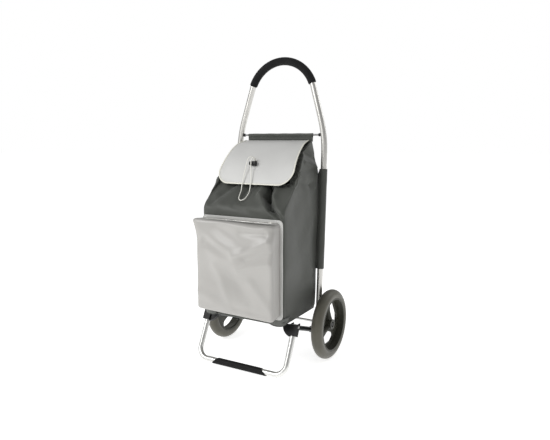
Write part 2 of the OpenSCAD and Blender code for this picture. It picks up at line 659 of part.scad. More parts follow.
module cord_lock_button() color([0.07, 0.07, 0.07]) in_lock() union() {
  translate([0, 0, -lock_l / 2 - button_travel - 0.5]) cylinder(r = lock_d / 2 - 2.5 - run, h = lock_l - spring_l + 1);
  translate([0, 0, -lock_l / 2 - button_travel - 3]) cylinder(r = lock_d / 2 - 1, h = 2.5);
}

module cord_lock_spring() color([0.6, 0.6, 0.6]) in_lock() translate([0, 0, lock_l / 2 - 2.1 - spring_l]) difference() {
  cylinder(r = 3.5, h = spring_l);
  translate([0, 0, -cut]) cylinder(r = 2.6, h = spring_l + 2 * cut);
}

module elastic_cord() color([0.93, 0.93, 0.90]) at_axle() sweep_cord(CORD_ROUTE, cord_d / 2);

// ---------------------------------------------------------------- nodes

handle_tube();
handle_grip();
top_rod();
rod_bushings();
axle_rod();
axle_block_left();
axle_block_right();
block_screws();
axle_spacers();
axle_caps();
tyre_left();
rim_left();
hub_bush_left();
tyre_right();
rim_right();
hub_bush_right();
arm_left();
arm_right();
bracket_left();
bracket_right();
front_crossbar();
arm_pins();
stand_tube();
stand_foot();
stand_pins();
bag_body();
base_board();
mouth_hem();
rod_sleeve();
tube_sleeve_left();
tube_sleeve_right();
corner_tabs();
pocket_body();
pocket_piping();
pocket_zip();
zip_slider();
zip_pull();
flap_panel();
flap_piping();
flap_eyelet();
cord_lock_body();
cord_lock_button();
cord_lock_spring();
elastic_cord();
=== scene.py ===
# %% [markdown]
# # A shopping trolley on wheels
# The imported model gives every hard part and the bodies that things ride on.
# This lesson adds the soft goods, the materials, the light and the camera.
# Sizes are in millimetres, measured from the axle's line, and `to_model` turns them into the model's metres.

# %% Load the frame
import bpy
import math
import numpy as np
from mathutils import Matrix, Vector


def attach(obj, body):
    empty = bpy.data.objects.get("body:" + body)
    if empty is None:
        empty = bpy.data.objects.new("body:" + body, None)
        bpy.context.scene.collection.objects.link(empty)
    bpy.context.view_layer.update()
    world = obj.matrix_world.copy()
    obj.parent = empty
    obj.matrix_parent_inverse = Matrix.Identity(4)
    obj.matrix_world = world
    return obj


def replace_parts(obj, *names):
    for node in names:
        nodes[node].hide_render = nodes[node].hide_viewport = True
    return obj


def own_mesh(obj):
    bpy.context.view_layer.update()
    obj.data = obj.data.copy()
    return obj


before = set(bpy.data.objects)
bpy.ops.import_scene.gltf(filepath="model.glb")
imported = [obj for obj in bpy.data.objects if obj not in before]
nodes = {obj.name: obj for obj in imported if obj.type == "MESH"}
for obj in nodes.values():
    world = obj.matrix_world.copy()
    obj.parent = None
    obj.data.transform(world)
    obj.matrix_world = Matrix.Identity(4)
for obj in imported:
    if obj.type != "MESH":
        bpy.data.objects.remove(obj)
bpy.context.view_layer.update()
AXLE_Y = 76.0
AXLE_Z = 118
HANDLE_TOP = 1020
LEAN = math.tan(math.radians(3))
LEAN_COS = math.cos(math.radians(3))
LEAN_SIN = math.sin(math.radians(3))
LEG_X = 168
BAG_HALF = 150.0
FRONT_Y = -216.0
FRONT_CORNER_R = 13.0


def leg_y(z):
    return (z - AXLE_Z) * LEAN


# %% [markdown]
# ## Camera
# A product view from the front right, a little above the middle, with a normal lens.

# %% Camera
camera = bpy.data.objects.new("camera", bpy.data.cameras.new("camera"))
bpy.context.collection.objects.link(camera)
camera.location = (0.936, -1.566, 0.737)
camera.rotation_euler = (math.radians(90 - 8.318), 0, math.radians(29.79))
camera.data.lens = 35.6
camera.data.sensor_width = 36
bpy.context.scene.camera = camera
print("camera at", tuple(round(c, 3) for c in camera.location))

# %% [markdown]
# ## Mesh helpers
# Pieces are grids of points made by numpy and turned into meshes here.
# `grid_faces` joins a table of points into quads, closed or open in each direction.

# %% Mesh helpers
def piece(name, verts, faces, material, body="frame", smooth=True):
    mesh = bpy.data.meshes.new(name)
    mesh.from_pydata([tuple(v) for v in verts], [], faces)
    mesh.materials.append(material)
    mesh.update()
    if smooth:
        mesh.polygons.foreach_set("use_smooth", [True] * len(mesh.polygons))
    obj = bpy.data.objects.new(name, mesh)
    bpy.context.collection.objects.link(obj)
    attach(obj, body)
    return obj


def to_model(points):
    """Points in millimetres from the axle's line, as an array in the model's metres."""
    p = np.asarray(points, float)
    return (p + np.array([0, AXLE_Y, 0])) / 1000


def grid_faces(rows, cols, close_cols=False, close_rows=False, start=0):
    faces = []
    for i in range(rows if close_rows else rows - 1):
        for j in range(cols if close_cols else cols - 1):
            a = start + i * cols + j
            b = start + i * cols + (j + 1) % cols
            c = start + ((i + 1) % rows) * cols + (j + 1) % cols
            d = start + ((i + 1) % rows) * cols + j
            faces.append((a, b, c, d))
    return faces


def apply_modifiers(obj):
    depsgraph = bpy.context.evaluated_depsgraph_get()
    mesh = bpy.data.meshes.new_from_object(obj.evaluated_get(depsgraph))
    obj.modifiers.clear()
    obj.data = mesh
    return obj


def thicken(obj, thickness, offset=-1):
    mod = obj.modifiers.new("thick", "SOLIDIFY")
    mod.thickness = thickness
    mod.offset = offset
    return apply_modifiers(obj)


def smooth_line(points, steps):
    """A Catmull-Rom curve through the points."""
    p = np.asarray(points, float)
    q = np.vstack([2 * p[0] - p[1], p, 2 * p[-1] - p[-2]])
    out = []
    for i in range(1, len(q) - 2):
        for k in range(steps):
            t = k / steps
            out.append(0.5 * (2 * q[i] + (q[i + 1] - q[i - 1]) * t
                              + (2 * q[i - 1] - 5 * q[i] + 4 * q[i + 1] - q[i + 2]) * t ** 2
                              + (3 * q[i] - q[i - 1] - 3 * q[i + 1] + q[i + 2]) * t ** 3))
    out.append(p[-1])
    return np.array(out)


def tube(path, radius, sides=12, flat=1.0, up=None, ends=True):
    """Points and faces of a tube along a path. flat squeezes it along `up`."""
    p = np.asarray(path, float)
    tangent = np.gradient(p, axis=0)
    tangent /= np.linalg.norm(tangent, axis=1)[:, None]
    side = np.cross(tangent[0], [0.3, 0.5, 0.8] if up is None else up)
    verts = []
    radii = np.broadcast_to(radius, len(p))
    for i in range(len(p)):
        if up is not None:
            side = np.cross(tangent[i], up)
        side = side - tangent[i] * np.dot(side, tangent[i])
        side /= np.linalg.norm(side)
        other = np.cross(side, tangent[i])
        for k in range(sides):
            a = 2 * math.pi * k / sides
            verts.append(p[i] + radii[i] * (math.cos(a) * side + flat * math.sin(a) * other))
    faces = grid_faces(len(p), sides, close_cols=True)
    if ends:
        faces.append(tuple(range(sides))[::-1])
        faces.append(tuple(range((len(p) - 1) * sides, len(p) * sides)))
    return verts, faces


def stitches(name, path, out, body, material, pitch=4.2, length=2.9, r=0.35):
    """A row of short threads along a path, each sunk at both ends. out is the way off the fabric."""
    p = np.asarray(path, float)
    step = np.linalg.norm(np.diff(p, axis=0), axis=1)
    along = np.concatenate([[0], np.cumsum(step)])
    outs = np.broadcast_to(np.asarray(out, float), p.shape)
    verts, faces = [], []
    for s in np.arange(pitch / 2, along[-1] - pitch / 2, pitch):
        mids = [np.array([np.interp(s + d * length, along, p[:, k]) for k in range(3)])
                for d in (-0.5, 0, 0.5)]
        n = np.array([np.interp(s, along, outs[:, k]) for k in range(3)])
        n /= np.linalg.norm(n)
        line = [mids[0] - n * 0.25, mids[1] + n * 0.3, mids[2] - n * 0.25]
        v, f = tube(line, [r * 0.6, r, r * 0.6], sides=5, up=n)
        faces += [tuple(i + len(verts) for i in face) for face in f]
        verts += v
    return piece(name, to_model(verts), faces, material, body)


def segment_distance(p, a, b):
    """Distance of each point from the segment a-b, and how far along it the nearest point is."""
    a, b = np.asarray(a, float), np.asarray(b, float)
    d = b - a
    t = np.clip(((p - a) @ d) / (d @ d), 0, 1)
    return np.linalg.norm(p - (a + t[:, None] * d), axis=1), t


def grid_normals(p, rows, cols, closed):
    g = p.reshape(rows, cols, 3)
    across = (np.roll(g, -1, 1) - np.roll(g, 1, 1)) if closed else np.gradient(g, axis=1)
    n = np.cross(across, np.gradient(g, axis=0)).reshape(-1, 3)
    return n / np.maximum(np.linalg.norm(n, axis=1), 1e-9)[:, None]


print("helpers ready")

# %% [markdown]
# ## Materials
# Each material is built from nodes: a colour that varies, a roughness that varies, and a fine bump.
# All patterns run in object space, so they need no UV map and have their real size in metres.

# %% Material helpers
class Mat:
    """A Principled material with a few short-hands for adding nodes."""

    def __init__(self, name, rough=0.5, metal=0.0, **sockets):
        self.m = bpy.data.materials.new(name)
        self.m.use_nodes = True
        self.nt = self.m.node_tree
        self.b = self.nt.nodes["Principled BSDF"]
        self.b.inputs["Roughness"].default_value = rough
        self.b.inputs["Metallic"].default_value = metal
        for key, value in sockets.items():
            self.b.inputs[key.replace("_", " ")].default_value = value
        self.co = self.nt.nodes.new("ShaderNodeTexCoord").outputs["Object"]
        self.height = None

    def mapped(self, scale=(1, 1, 1), turn=0.0):
        n = self.nt.nodes.new("ShaderNodeMapping")
        n.inputs["Scale"].default_value = scale
        n.inputs["Rotation"].default_value = (0, 0, math.radians(turn))
        self.nt.links.new(self.co, n.inputs["Vector"])
        return n.outputs["Vector"]

    def noise(self, scale, detail=3.0, rough=0.5, vector=None):
        n = self.nt.nodes.new("ShaderNodeTexNoise")
        n.inputs["Scale"].default_value = scale
        n.inputs["Detail"].default_value = detail
        n.inputs["Roughness"].default_value = rough
        self.nt.links.new(vector or self.co, n.inputs["Vector"])
        return n.outputs["Fac"]

    def wave(self, period, direction, vector=None, distortion=0.0):
        n = self.nt.nodes.new("ShaderNodeTexWave")
        n.bands_direction = direction
        n.inputs["Scale"].default_value = 0.3142 / period
        n.inputs["Distortion"].default_value = distortion
        self.nt.links.new(vector or self.co, n.inputs["Vector"])
        return n.outputs["Fac"]

    def math(self, op, a, b):
        n = self.nt.nodes.new("ShaderNodeMath")
        n.operation = op
        for socket, value in zip(n.inputs, (a, b)):
            if isinstance(value, (int, float)):
                socket.default_value = value
            else:
                self.nt.links.new(value, socket)
        return n.outputs["Value"]

    def span(self, value, low, high, start=0.3, end=0.7):
        n = self.nt.nodes.new("ShaderNodeMapRange")
        n.inputs["From Min"].default_value = start
        n.inputs["From Max"].default_value = end
        n.inputs["To Min"].default_value = low
        n.inputs["To Max"].default_value = high
        self.nt.links.new(value, n.inputs["Value"])
        return n.outputs["Result"]

    def colour(self, value, *stops):
        n = self.nt.nodes.new("ShaderNodeValToRGB")
        ramp = n.color_ramp
        while len(ramp.elements) < len(stops):
            ramp.elements.new(0.5)
        for element, (place, rgb) in zip(ramp.elements, stops):
            element.position = place
            element.color = (*rgb, 1)
        self.nt.links.new(value, n.inputs["Fac"])
        self.nt.links.new(n.outputs["Color"], self.b.inputs["Base Color"])
        return self

    def roughness(self, value, low, high):
        self.nt.links.new(self.span(value, low, high), self.b.inputs["Roughness"])
        return self

    def bump(self, value, distance, strength=1.0):
        n = self.nt.nodes.new("ShaderNodeBump")
        n.inputs["Strength"].default_value = strength
        n.inputs["Distance"].default_value = distance
        self.nt.links.new(value, n.inputs["Height"])
        if self.height is not None:
            self.nt.links.new(self.height, n.inputs["Normal"])
        self.height = n.outputs["Normal"]
        self.nt.links.new(self.height, self.b.inputs["Normal"])
        return self


def near(rgb, k):
    return tuple(min(c * k, 1) for c in rgb)


def fabric(name, rgb, period=0.0011, rough=0.62, sheen=0.25, coat=0.0, mottled=0.07):
    """Woven polyester: two sets of threads, soft folds of tone, and a slight sheen."""
    m = Mat(name, rough=rough, Sheen_Weight=sheen, Sheen_Roughness=0.45, Coat_Weight=coat, Coat_Roughness=0.4)
    turned = m.mapped(turn=45)
    warp = m.wave(period, "X", turned)
    weft = m.wave(period, "Z")
    weave = m.math("MAXIMUM", warp, weft)
    tone = m.noise(9, 4)
    fleck = m.noise(900, 2)
    mix = m.math("ADD", m.math("MULTIPLY", tone, 0.8), m.math("MULTIPLY", m.math("ADD", weave, fleck), 0.1))
    m.colour(mix, (0.3, near(rgb, 1 - mottled)), (0.55, rgb), (0.8, near(rgb, 1 + mottled)))
    m.roughness(tone, rough - 0.08, rough + 0.08)
    m.bump(weave, 0.00012, 0.5)
    m.bump(m.noise(35, 4), 0.0012, 0.18)
    return m.m


def metal(name, rgb, rough=0.3, stretch=(260, 260, 6), grain=0.00003):
    """Drawn metal: fine lines along the bar and faint smudges."""
    m = Mat(name, rough=rough, metal=1.0)
    lines = m.noise(1, 3, 0.6, m.mapped(stretch))
    smudge = m.noise(14, 3)
    m.colour(smudge, (0.3, near(rgb, 0.93)), (0.7, near(rgb, 1.03)))
    m.roughness(m.math("MULTIPLY", m.math("ADD", lines, smudge), 0.5), rough - 0.06, rough + 0.08)
    m.bump(lines, grain, 0.6)
    return m.m


def plastic(name, rgb, rough=0.42, grain=0.00006, scale=1400, coat=0.0, metal_part=0.0):
    """Moulded plastic: a fine spark-eroded grain with slight wear in its shine."""
    m = Mat(name, rough=rough, metal=metal_part, Coat_Weight=coat, Coat_Roughness=0.3, Specular_IOR_Level=0.3)
    wear = m.noise(22, 4)
    m.colour(wear, (0.3, near(rgb, 0.85)), (0.7, near(rgb, 1.15)))
    m.roughness(wear, rough - 0.06, rough + 0.08)
    m.bump(m.noise(scale, 2), grain, 0.7)
    return m.m


def rubber(name, rgb, rough=0.7, grain=0.00012, scale=420, sheen=0.12):
    """Rubber and foam: a coarse grain, dusty patches and faint rings."""
    m = Mat(name, rough=rough, Sheen_Weight=sheen, Specular_IOR_Level=0.3)
    dust = m.noise(18, 5, 0.6)
    m.colour(dust, (0.3, near(rgb, 0.86)), (0.7, near(rgb, 1.12)))
    m.roughness(dust, rough - 0.08, rough + 0.1)
    m.bump(m.noise(scale, 3), grain, 0.6)
    m.bump(m.wave(0.004, "X"), 0.0001, 0.25)
    return m.m


print("finishes: fabric, metal, plastic, rubber")

# %% [markdown]
# Each finish is then given its colour, and every CAD node gets one, also where a soft piece replaces it.

# %% The materials
aluminium = metal("aluminium", (0.66, 0.65, 0.62), 0.36)
stand_metal = metal("stand_aluminium", (0.72, 0.72, 0.70), 0.32)
zinc = metal("zinc_steel", (0.62, 0.62, 0.61), 0.36, stretch=(12, 240, 240))
dark_steel = metal("dark_steel", (0.20, 0.20, 0.20), 0.38, stretch=(8, 240, 240))
nickel = metal("nickel", (0.74, 0.73, 0.70), 0.28)
foam = rubber("foam", (0.004, 0.004, 0.0045), rough=0.85, grain=0.0005, scale=900, sheen=0.04)
black = plastic("black_plastic", (0.005, 0.005, 0.005), 0.42)
bright = plastic("bright_bar", (0.86, 0.85, 0.78), 0.34, metal_part=0.3)
arm_paint = plastic("arm_paint", (0.020, 0.024, 0.026), 0.34, grain=0.00003)
tyre = rubber("tyre_rubber", (0.105, 0.100, 0.078), rough=0.42)
# the rim is painted darker than the tyre: painted shade for its deep dish, as rim and tyre share one olive
# grey
rim = plastic("rim_plastic", (0.045, 0.045, 0.034), 0.42)
foot = rubber("foot_rubber", (0.004, 0.004, 0.004), rough=0.6, scale=700, sheen=0.0)
bag_cloth = fabric("bag_cloth", (0.058, 0.062, 0.053), rough=0.56, sheen=0.22)
sleeve_cloth = fabric("sleeve_cloth", (0.050, 0.053, 0.046), rough=0.60, sheen=0.2)
hem_cloth = fabric("hem_cloth", (0.056, 0.060, 0.052), rough=0.6, sheen=0.2)
silver = fabric("pocket_cloth", (0.42, 0.41, 0.39), rough=0.38, sheen=0.12, coat=0.2, mottled=0.05)
silver_edge = fabric("pocket_piping", (0.62, 0.62, 0.60), period=0.0016, rough=0.45, sheen=0.15)
flap_cloth = fabric("flap_cloth", (0.61, 0.61, 0.595), rough=0.50, sheen=0.2, mottled=0.04)
cream = fabric("cream_piping", (0.83, 0.82, 0.73), period=0.0016, rough=0.5, sheen=0.2)
elastic = fabric("elastic", (0.83, 0.82, 0.76), period=0.0009, rough=0.6, sheen=0.3)
leaf_cloth = fabric("leaf_cloth", (0.115, 0.12, 0.11), rough=0.55)
board = plastic("board", (0.03, 0.03, 0.032), 0.6, grain=0.0002, scale=500)
thread_dark = fabric("thread_dark", (0.035, 0.037, 0.034), period=0.0005)
thread_pale = fabric("thread_pale", (0.42, 0.42, 0.40), period=0.0005)
thread_cream = fabric("thread_cream", (0.78, 0.77, 0.70), period=0.0005)

by_node = {
    aluminium: ["handle_tube"], stand_metal: ["stand_tube"], bright: ["front_crossbar"],
    zinc: ["axle_rod", "block_screws", "arm_pins", "stand_pins"], dark_steel: ["top_rod"],
    nickel: ["zip_slider", "zip_pull", "flap_eyelet", "cord_lock_spring"],
    black: ["rod_bushings", "axle_block_left", "axle_block_right", "axle_spacers", "axle_caps",
            "bracket_left", "bracket_right", "cord_lock_body", "cord_lock_button",
            "hub_bush_left", "hub_bush_right"],
    arm_paint: ["arm_left", "arm_right"], tyre: ["tyre_left", "tyre_right"],
    rim: ["rim_left", "rim_right"], foot: ["stand_foot"], foam: ["handle_grip"],
    bag_cloth: ["bag_body", "corner_tabs"], board: ["base_board"], hem_cloth: ["mouth_hem", "rod_sleeve"],
    sleeve_cloth: ["tube_sleeve_left", "tube_sleeve_right"], silver: ["pocket_body"],
    silver_edge: ["pocket_piping", "pocket_zip"], flap_cloth: ["flap_panel"], cream: ["flap_piping"],
    elastic: ["elastic_cord"],
}
for material, names in by_node.items():
    for name in names:
        node = nodes[name]
        if not node.material_slots:
            node.data.materials.append(material)
        for s in node.material_slots:
            s.material = material
print("materials:", len(bpy.data.materials), "nodes painted:", sum(len(v) for v in by_node.values()))

# %% [markdown]
# ## The elastic loop
# The elastic comes out of the eyelet, arches over the cord lock and hangs over the flap's lower edge.
# Its route repeats the points that the CAD model sweeps, smoothed between them.

# %% The elastic loop
route = [
    (-17.6, -104.5, 669.2), (-19, -108.5, 673), (-23, -111, 680), (-28, -114.5, 684.5), (-33, -119.5, 683),
    (-36, -124, 676), (-37, -128, 666), (-37.5, -132, 656), (-38, -137, 644), (-38, -142.5, 630),
    (-38, -149, 614), (-38, -155.5, 599), (-38, -159, 588), (-37.5, -162.5, 577), (-37, -168.5, 569),
    (-35.5, -177, 561), (-32.5, -185, 554), (-27, -191, 549.5), (-19.5, -193, 547.5), (-12.5, -191, 549.5),
    (-8, -185, 554), (-6, -177, 561), (-5.5, -168.5, 569), (-5.5, -162.5, 577), (-5.5, -159, 588),
    (-6, -155.5, 599), (-8.5, -149, 614), (-12.5, -142, 630.5), (-17, -136, 648), (-20, -131, 663),
    (-20.5, -128, 673), (-20, -123, 680), (-18, -117, 682), (-16, -112, 679), (-14.5, -108.5, 673),
    (-14.4, -104.5, 669.2),
]
loop_line = to_model(smooth_line(route, 5))
verts, faces = tube(loop_line, 0.0015, sides=10)
loop = piece("elastic_loop", verts, faces, elastic, "flap")
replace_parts(loop, "elastic_cord")

# %% [markdown]
# ## Floor and light
# A pale floor that runs out of view, a white surround, one large soft light from the front left
# and a weaker one from behind.

# %% Floor and light
floor_mat = Mat("floor", rough=0.9, Emission_Color=(1, 1, 1, 1), Emission_Strength=0.66)
floor_mat.colour(floor_mat.noise(2, 2), (0.4, (0.93, 0.93, 0.93)), (0.6, (0.95, 0.95, 0.95)))
mesh = bpy.data.meshes.new("floor")
mesh.from_pydata([(-30, -30, 0), (30, -30, 0), (30, 30, 0), (-30, 30, 0)], [], [(0, 1, 2, 3)])
mesh.materials.append(floor_mat.m)
floor = bpy.data.objects.new("floor", mesh)
bpy.context.collection.objects.link(floor)

world = bpy.data.worlds.new("studio")
bpy.context.scene.world = world
world.use_nodes = True
world.node_tree.nodes["Background"].inputs["Color"].default_value = (1, 1, 1, 1)
seen = world.node_tree.nodes.new("ShaderNodeLightPath").outputs["Is Camera Ray"]
level = world.node_tree.nodes.new("ShaderNodeMapRange")
level.inputs["To Min"].default_value = 0.38
level.inputs["To Max"].default_value = 1.0
world.node_tree.links.new(seen, level.inputs["Value"])
world.node_tree.links.new(level.outputs["Result"], world.node_tree.nodes["Background"].inputs["Strength"])
bpy.context.scene.view_settings.view_transform = "Standard"


def area_light(name, place, aim, size, power):
    data = bpy.data.lights.new(name, "AREA")
    data.size = size
    data.energy = power
    obj = bpy.data.objects.new(name, data)
    bpy.context.collection.objects.link(obj)
    obj.location = place
    obj.rotation_euler = (Vector(aim) - Vector(place)).to_track_quat("-Z", "Y").to_euler()


area_light("key", (-1.5, -2.7, 2.4), (0, 0, 0.5), 1.5, 66)
area_light("back", (1.6, 2.2, 2.2), (0, 0, 0.6), 1.8, 20)

# %% [markdown]
# ## The bag
# The bag is a loft. Each ring is a rounded rectangle between a point on the front outline and a
# point on the rear one, so that the rings tilt towards the sloping mouth as they rise.
# Creases then push the cloth in or out along its own normal. The lower part is a piece of its own.

# %% Bag outline
BOTTOM, REAR_TOP = 162.0, 737.0
SHOULDER, MOUTH = (FRONT_Y, 526.0), (-138.0, 588.0)
CORNER_SHARE = 0.80
GATHER_Z = 633


def bag_half(z, x):
    """Half width at a height. The rear top is gathered a little more on the right."""
    gather = np.where(x > 0, 27.0, 19.0)
    return np.where(z < GATHER_Z, BAG_HALF, BAG_HALF - gather * (z - GATHER_Z) / (REAR_TOP - GATHER_Z))


def front_line(t):
    """Front outline: up the front panel, round the shoulder and up the slope to the mouth."""
    corner = CORNER_SHARE
    z = np.where(t < corner, BOTTOM + (SHOULDER[1] - BOTTOM) * t / corner,
                 SHOULDER[1] + (MOUTH[1] - SHOULDER[1]) * (t - corner) / (1 - corner))
    y = np.where(t < corner, SHOULDER[0],
                 SHOULDER[0] + (MOUTH[0] - SHOULDER[0]) * (t - corner) / (1 - corner))
    return y, z


def rounded_outline(half, depth, r_front, r_back, counts):
    """A rounded rectangle from the rear middle round by the right side, as across and forward."""
    across, forward, corner, back = counts
    pts = []
    for k in range(back):
        pts.append((k / back * (half - r_back), 0))
    for k in range(corner):
        a = math.pi / 2 * k / corner
        pts.append((half - r_back + r_back * math.sin(a), r_back - r_back * math.cos(a)))
    for k in range(forward):
        pts.append((half, r_back + (depth - r_back - r_front) * k / forward))
    for k in range(corner):
        a = math.pi / 2 * k / corner
        pts.append((half - r_front + r_front * math.cos(a), depth - r_front + r_front * math.sin(a)))
    for k in range(across):
        pts.append(((half - r_front) * (1 - k / across), depth))
    right = np.array(pts)
    left = np.array([(-x, d) for x, d in [(0, depth)] + pts[:0:-1]])
    return np.vstack([right, left])


ROWS = 120
SPLIT_ROW = 86
COUNTS = (34, 44, 6, 26)
T_SPLIT = SPLIT_ROW / (ROWS - 1)
BELLY = 23.0
ROUND_FROM, ROUND_TO = 0.765, 0.835
ts = np.linspace(0, 1, ROWS)
rings = []
for t in ts:
    fy, fz = (float(v) for v in front_line(np.array(t)))
    k = min(max((t - T_SPLIT) / 0.2, 0), 1)
    ease = k * k * (3 - 2 * k)
    if ROUND_FROM < t < ROUND_TO:
        s = (t - ROUND_FROM) / 0.07
        a, b = front_line(np.array(ROUND_FROM)), front_line(np.array(ROUND_TO))
        fy = (1 - s) ** 2 * a[0] + 2 * s * (1 - s) * SHOULDER[0] + s * s * b[0]
        fz = (1 - s) ** 2 * a[1] + 2 * s * (1 - s) * SHOULDER[1] + s * s * b[1]
    bz = BOTTOM + (REAR_TOP - BOTTOM) * t
    flat = BOTTOM + (SHOULDER[1] - BOTTOM) * t / CORNER_SHARE
    bz = bz * ease + flat * (1 - ease)
    by = leg_y(bz) - 1.0
    depth = math.hypot(by - fy, bz - fz)
    outline = rounded_outline(BAG_HALF, depth, FRONT_CORNER_R, 4.0, COUNTS)
    y = by + (fy - by) * outline[:, 1] / depth
    z = bz + (fz - bz) * outline[:, 1] / depth
    along = outline[:, 1] / depth
    lift = BELLY * ease * 4 * along * (1 - along)
    y = y - lift * (bz - fz) / depth
    z = z + lift * (by - fy) / depth
    x = outline[:, 0] / BAG_HALF * bag_half(z, outline[:, 0])
    rings.append(np.stack([x, y, z], 1))
cols = len(rings[0])
shape = np.vstack(rings)

# %% [markdown]
# Each crease is a line with a depth and a width. Minus goes into the bag and plus stands proud.
# The deep pleat runs from under the flap down to the pocket's upper right corner.

# %% Bag creases
def plane_distance(base, a, b, view):
    """Distance from the segment a-b seen from the front (x, z) or a side (y, z), and the place along it."""
    cut = [0, 2] if view == "front" else [1, 2]
    return segment_distance(base[:, cut], a, b)


def push(points, base, normals, creases):
    """Moves points along the normals. A crease is (view, from, to, depth, width, end depth, end width)."""
    total = np.zeros(len(points))
    for view, a, b, depth, width, depth_end, width_end in creases:
        d, t = plane_distance(base, a, b, view)
        w = width + (width_end - width) * t
        facing = {"front": -normals[:, 1], "right": normals[:, 0], "left": -normals[:, 0]}[view]
        share = np.clip(facing * 2.2, 0, 1)
        total += share * (depth + (depth_end - depth) * t) * np.exp(-(d / w) ** 2)
    return points + normals * total[:, None]


bag_creases = [
    # the deep pleat, its two lips and the fold that leans on it
    ("front", (56, 600), (64, 566), -32, 10, -30, 8),
    ("front", (64, 566), (100, 530), -30, 8, -24, 6.5),
    ("front", (100, 530), (139, 500), -24, 6.5, -8, 5),
    ("front", (28, 600), (36, 566), 4, 10, 6, 9),
    ("front", (36, 566), (124, 498), 7, 8, 3, 9),
    ("front", (78, 600), (92, 560), 4, 11, 5, 10),
    ("front", (92, 560), (143, 512), 5, 10, 3, 8),
    # broad folds under the flap and down to the pocket
    ("front", (-18, 600), (-26, 562), -9, 20, -4, 17),
    ("front", (-26, 562), (10, 524), -4, 15, -2, 12),
    ("front", (-52, 600), (-100, 520), 3, 11, 2, 12),
    ("front", (-82, 600), (-128, 536), -8, 13, -4, 10),
    ("front", (-128, 560), (-60, 500), 3, 10, 1, 14),
    ("front", (-40, 530), (60, 506), -3, 9, -2, 10),
    # right side
    ("right", (-60, 668), (14, 650), 6, 6, 7, 6),
    ("right", (-40, 700), (22, 676), -9, 13, -7, 11),
    ("right", (-118, 634), (8, 640), -6, 9, -5, 8),
    ("right", (-170, 616), (-34, 590), -6, 13, -5, 10),
    ("right", (-34, 590), (-2, 596), -5, 9, -3, 7),
    ("right", (-4, 585), (12, 640), 5, 7, 5, 7),
    ("right", (-70, 604), (-40, 470), 4, 18, 2, 24),
    ("right", (-150, 520), (-90, 300), -2, 24, -2, 30),
    ("right", (-10, 470), (-20, 300), -3, 14, -2, 20),
    ("right", (-60, 430), (-30, 250), 2, 20, 2, 24),
    # left side
    ("left", (-60, 666), (14, 650), 5, 7, 6, 7),
    ("left", (-118, 632), (4, 642), -5, 10, -4, 9),
    ("left", (-170, 605), (-30, 596), -4, 14, -4, 12),
    ("left", (-140, 540), (-70, 320), -3, 22, -2, 26),
    ("left", (-20, 480), (-60, 260), 3, 20, 2, 22),
]
outward = -grid_normals(shape, ROWS, cols, True)
height = (shape[:, 2] - BOTTOM) / (SHOULDER[1] - BOTTOM)
from_middle = np.clip(np.abs(shape[:, 1] + 108) / 108, 0, 1)
belly = 3.0 * np.sin(np.pi * np.clip(height, 0, 1)) * (1 - from_middle ** 2)
bulged = shape + outward * (belly * (np.abs(shape[:, 0]) > 120))[:, None]
ripple = (np.sin(shape[:, 0] / 21 + shape[:, 2] / 47) * np.sin(shape[:, 1] / 26 - shape[:, 2] / 33)
          + 0.5 * np.sin(shape[:, 0] / 13 - shape[:, 1] / 17 + shape[:, 2] / 23))
bulged = bulged + outward * (0.7 * ripple)[:, None]
flare = 5.0 * np.clip((shape[:, 1] + 80) / 80, 0, 1) ** 1.5 * np.clip((620 - shape[:, 2]) / 80, 0, 1)
bulged[:, 0] += np.sign(shape[:, 0]) * flare * np.clip((np.abs(shape[:, 0]) - 120) / 25, 0, 1)
swell = 9.0 * np.exp(-((shape[:, 2] - 512) / 60) ** 2) * np.clip((-120 - shape[:, 0]) / 30, 0, 1)
bulged[:, 0] -= swell * np.clip((-60 - shape[:, 1]) / 120, 0, 1)
skin = push(bulged, shape, outward, bag_creases)
# the outermost ring and the rear stay where they are sewn to the hem, the legs and the board
hold = np.clip((shape[:, 2] - BOTTOM) / 20, 0, 1)
rear = np.clip((leg_y(shape[:, 2]) - shape[:, 1]) / 12, 0.25, 1)
skin[:, 1:] = shape[:, 1:] + (skin[:, 1:] - shape[:, 1:]) * (hold * rear)[:, None]
skin[:, 0] = shape[:, 0] + (skin[:, 0] - shape[:, 0]) * hold
skin = skin.reshape(ROWS, cols, 3)
print("creases:", len(bag_creases))

# %% [markdown]
# The bottom closes under the board, and the mouth turns in to a gathered tunnel hem.

# %% Bag meshes
base_ring = skin[0].copy()
middle = np.array([0, -105, BOTTOM])
skin[0, :, 2] = BOTTOM + 3.0
under = []
for f, z in ((0.01, 162.0), (0.3, 162.0), (0.6, 162.0), (0.9, 162.1), (0.975, 162.6)):
    ring = middle + (base_ring - middle) * f
    ring[:, 2] = z
    under.append(ring)
lower = np.concatenate([np.array(under), skin[:SPLIT_ROW + 1]])
turn = np.arange(cols) / cols * 2 * math.pi
mouth_mid = skin[-1].mean(0)
rim_in = []
GATHERS = 38
MOUTH_TURN = ((2.0, 0.5, 0.3), (8.0, 2.0, 0.8), (18.0, 4.0, 1.6), (30.0, 6.0, 1.8), (42.0, 8.5, 1.4))
for inset, drop, wave in MOUTH_TURN:
    way = mouth_mid - skin[-1]
    way /= np.linalg.norm(way, axis=1)[:, None]
    ring = skin[-1] + way * inset
    ring[:, 2] += -drop + wave * np.cos(turn * GATHERS)
    ring[:, 1] += wave * np.sin(turn * GATHERS)
    rim_in.append(ring)
upper = np.concatenate([skin[SPLIT_ROW:], np.array(rim_in)])


def bag_piece(name, table, material):
    rows = len(table)
    faces = [f[::-1] for f in grid_faces(rows, cols, close_cols=True)]
    obj = piece(name, to_model(table.reshape(-1, 3)), faces, material)
    mod = obj.modifiers.new("thick", "SOLIDIFY")
    mod.thickness = 0.0012
    mod.offset = -1
    mod.use_rim = False
    return apply_modifiers(obj)


def crumple(obj):
    """Gives the piece its own copy of its mesh."""
    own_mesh(obj)
    return obj


